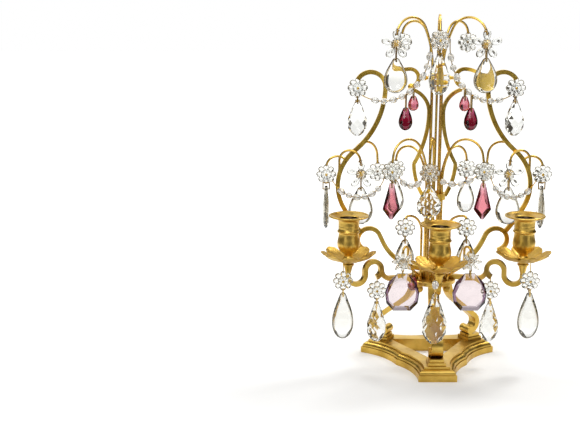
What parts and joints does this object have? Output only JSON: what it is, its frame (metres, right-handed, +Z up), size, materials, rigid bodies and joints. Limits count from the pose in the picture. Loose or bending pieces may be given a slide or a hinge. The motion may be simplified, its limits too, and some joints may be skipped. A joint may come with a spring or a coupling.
{
  "type": "girandole candle holder",
  "caption": "Gilt-bronze table girandole: lyre frame on an open triangular foot, scroll arms with candle nozzles over petal pans, hung with swinging cut-glass drops, flowers and bead swags.",
  "frame": {"origin": "on the table under the middle of the object's bounding box", "axes": "+Z up, -Y towards the front candle, +X to the viewer's right"},
  "size_m": [0.3, 0.1688, 0.447],
  "materials": {
    "gilt_bronze": "satin",
    "brass_wire": "satin",
    "clear_glass": "polished",
    "flower_glass": "polished",
    "bead_glass": "frosted",
    "purple_glass": "polished",
    "dark_glass": "polished",
    "pink_glass": "polished",
    "lilac_glass": "polished"
  },
  "bodies": {
    "frame": {"base_frame": "gilt_bronze", "front_leg": "gilt_bronze", "right_leg": "gilt_bronze", "left_leg": "gilt_bronze", "hub": "gilt_bronze", "ball_nuts": "gilt_bronze", "front_arm": "gilt_bronze", "right_arm": "gilt_bronze", "left_arm": "gilt_bronze", "front_pan": "gilt_bronze", "right_pan": "gilt_bronze", "left_pan": "gilt_bronze", "front_nozzle": "gilt_bronze", "right_nozzle": "gilt_bronze", "left_nozzle": "gilt_bronze", "right_side_strip": "gilt_bronze", "left_side_strip": "gilt_bronze", "right_inner_strip": "gilt_bronze", "left_inner_strip": "gilt_bronze", "right_low_scroll": "gilt_bronze", "left_low_scroll": "gilt_bronze", "right_top_scroll": "gilt_bronze", "left_top_scroll": "gilt_bronze", "stem_ties": "gilt_bronze", "upper_rods": "brass_wire", "lower_rods": "brass_wire", "shoulder_wires": "brass_wire", "hub_wires": "brass_wire", "rosettes": "flower_glass", "star_flowers": "flower_glass", "swag_beads": "bead_glass", "hanger_wires": "brass_wire"},
    "top_front_drop": {"top_front_drop": "clear_glass"},
    "mid_front_drop": {"mid_front_drop": "clear_glass"},
    "low_front_drop": {"low_front_drop": "clear_glass"},
    "right_top_drop": {"right_top_drop": "clear_glass"},
    "left_top_drop": {"left_top_drop": "clear_glass"},
    "right_far_drop": {"right_far_drop": "clear_glass"},
    "left_far_drop": {"left_far_drop": "clear_glass"},
    "right_dark_drop": {"right_dark_drop": "dark_glass"},
    "left_dark_drop": {"left_dark_drop": "dark_glass"},
    "right_pink_drop": {"right_pink_drop": "pink_glass"},
    "left_pink_drop": {"left_pink_drop": "pink_glass"},
    "right_kite_drop": {"right_kite_drop": "purple_glass"},
    "left_kite_drop": {"left_kite_drop": "purple_glass"},
    "right_back_drop": {"right_back_drop": "clear_glass"},
    "left_back_drop": {"left_back_drop": "clear_glass"},
    "right_shoulder_drop": {"right_shoulder_drop": "clear_glass"},
    "left_shoulder_drop": {"left_shoulder_drop": "clear_glass"},
    "right_outer_drop": {"right_outer_drop": "clear_glass"},
    "left_outer_drop": {"left_outer_drop": "clear_glass"},
    "right_hook_drop": {"right_hook_drop": "clear_glass"},
    "left_hook_drop": {"left_hook_drop": "clear_glass"},
    "right_lilac_drop": {"right_lilac_drop": "lilac_glass"},
    "left_lilac_drop": {"left_lilac_drop": "lilac_glass"},
    "right_arm_inner_drop": {"right_arm_inner_drop": "clear_glass"},
    "left_arm_inner_drop": {"left_arm_inner_drop": "clear_glass"},
    "right_arm_outer_drop": {"right_arm_outer_drop": "clear_glass"},
    "left_arm_outer_drop": {"left_arm_outer_drop": "clear_glass"},
    "hub_pink_drop": {"hub_pink_drop": "pink_glass"}
  },
  "joints": [
    {"name": "top_front_drop_swing", "type": "hinge", "parent": "frame", "child": "top_front_drop", "pos_m": [-0.00443, -0.03099, 0.39749], "axis": [0, -1, 0], "range_deg": [-3, 5]},
    {"name": "mid_front_drop_swing", "type": "hinge", "parent": "frame", "child": "mid_front_drop", "pos_m": [-0.01208, -0.02884, 0.23686], "axis": [0, -1, 0], "range_deg": [-8, 8]},
    {"name": "low_front_drop_swing", "type": "hinge", "parent": "frame", "child": "low_front_drop", "pos_m": [-0.00711, -0.07227, 0.11031], "axis": [0, -1, 0], "range_deg": [-10, 10]},
    {"name": "right_top_drop_swing", "type": "hinge", "parent": "frame", "child": "right_top_drop", "pos_m": [0.05458, -0.0119, 0.39051], "axis": [0, -1, 0], "range_deg": [-6, 6]},
    {"name": "left_top_drop_swing", "type": "hinge", "parent": "frame", "child": "left_top_drop", "pos_m": [-0.05458, -0.0119, 0.39051], "axis": [0, -1, 0], "range_deg": [-6, 3]},
    {"name": "right_far_drop_swing", "type": "hinge", "parent": "frame", "child": "right_far_drop", "pos_m": [0.09856, 0.01961, 0.33612], "axis": [0, -1, 0], "range_deg": [-10, 5]},
    {"name": "left_far_drop_swing", "type": "hinge", "parent": "frame", "child": "left_far_drop", "pos_m": [-0.09856, 0.01961, 0.33612], "axis": [0, -1, 0], "range_deg": [-5, 10]},
    {"name": "right_dark_drop_swing", "type": "hinge", "parent": "frame", "child": "right_dark_drop", "pos_m": [0.03844, -0.01282, 0.32998], "axis": [0, -1, 0], "range_deg": [-6, 6]},
    {"name": "left_dark_drop_swing", "type": "hinge", "parent": "frame", "child": "left_dark_drop", "pos_m": [-0.0417, -0.01463, 0.33048], "axis": [0, -1, 0], "range_deg": [-6, 6]},
    {"name": "right_pink_drop_swing", "type": "hinge", "parent": "frame", "child": "right_pink_drop", "pos_m": [0.02921, -0.01826, 0.34454], "axis": [0, -1, 0], "range_deg": [-6, 6]},
    {"name": "left_pink_drop_swing", "type": "hinge", "parent": "frame", "child": "left_pink_drop", "pos_m": [-0.03326, -0.02021, 0.34535], "axis": [0, -1, 0], "range_deg": [-6, 6]},
    {"name": "right_kite_drop_swing", "type": "hinge", "parent": "frame", "child": "right_kite_drop", "pos_m": [0.05674, -0.01315, 0.23596], "axis": [0, -1, 0], "range_deg": [-10, 10]},
    {"name": "left_kite_drop_swing", "type": "hinge", "parent": "frame", "child": "left_kite_drop", "pos_m": [-0.05674, -0.01315, 0.23596], "axis": [0, -1, 0], "range_deg": [-10, 10]},
    {"name": "right_back_drop_swing", "type": "hinge", "parent": "frame", "child": "right_back_drop", "pos_m": [0.04593, 0.05177, 0.2282], "axis": [0, -1, 0], "range_deg": [-10, 10]},
    {"name": "left_back_drop_swing", "type": "hinge", "parent": "frame", "child": "left_back_drop", "pos_m": [-0.04593, 0.05177, 0.2282], "axis": [0, -1, 0], "range_deg": [-10, 10]},
    {"name": "right_shoulder_drop_swing", "type": "hinge", "parent": "frame", "child": "right_shoulder_drop", "pos_m": [0.09332, 0.01231, 0.227], "axis": [0, -1, 0], "range_deg": [-10, 7]},
    {"name": "left_shoulder_drop_swing", "type": "hinge", "parent": "frame", "child": "left_shoulder_drop", "pos_m": [-0.09332, 0.01231, 0.227], "axis": [0, -1, 0], "range_deg": [-7, 10]},
    {"name": "right_outer_drop_swing", "type": "hinge", "parent": "frame", "child": "right_outer_drop", "pos_m": [0.13703, 0.01961, 0.22688], "axis": [1, 0, 0], "range_deg": [-10, 10]},
    {"name": "left_outer_drop_swing", "type": "hinge", "parent": "frame", "child": "left_outer_drop", "pos_m": [-0.13703, 0.01961, 0.22688], "axis": [-1, 0, 0], "range_deg": [-10, 10]},
    {"name": "right_hook_drop_swing", "type": "hinge", "parent": "frame", "child": "right_hook_drop", "pos_m": [0.03848, -0.01046, 0.16428], "axis": [0, -1, 0], "range_deg": [-10, 10]},
    {"name": "left_hook_drop_swing", "type": "hinge", "parent": "frame", "child": "left_hook_drop", "pos_m": [-0.03848, -0.01046, 0.16428], "axis": [0, -1, 0], "range_deg": [-10, 10]},
    {"name": "right_lilac_drop_swing", "type": "hinge", "parent": "frame", "child": "right_lilac_drop", "pos_m": [0.04224, -0.02731, 0.12366], "axis": [0, -1, 0], "range_deg": [-10, 10]},
    {"name": "left_lilac_drop_swing", "type": "hinge", "parent": "frame", "child": "left_lilac_drop", "pos_m": [-0.04224, -0.02731, 0.12366], "axis": [0, -1, 0], "range_deg": [-10, 10]},
    {"name": "right_arm_inner_drop_swing", "type": "hinge", "parent": "frame", "child": "right_arm_inner_drop", "pos_m": [0.07219, -0.00525, 0.08102], "axis": [0, -1, 0], "range_deg": [-10, 10]},
    {"name": "left_arm_inner_drop_swing", "type": "hinge", "parent": "frame", "child": "left_arm_inner_drop", "pos_m": [-0.07219, -0.00525, 0.08102], "axis": [0, -1, 0], "range_deg": [-10, 10]},
    {"name": "right_arm_outer_drop_swing", "type": "hinge", "parent": "frame", "child": "right_arm_outer_drop", "pos_m": [0.11668, -0.03028, 0.10068], "axis": [0, -1, 0], "range_deg": [-10, 10]},
    {"name": "left_arm_outer_drop_swing", "type": "hinge", "parent": "frame", "child": "left_arm_outer_drop", "pos_m": [-0.11668, -0.03028, 0.10068], "axis": [0, -1, 0], "range_deg": [-10, 10]},
    {"name": "hub_pink_drop_swing", "type": "hinge", "parent": "frame", "child": "hub_pink_drop", "pos_m": [-0.0279, -0.01138, 0.11764], "axis": [0, -1, 0], "range_deg": [-6, 6]}
  ]
}
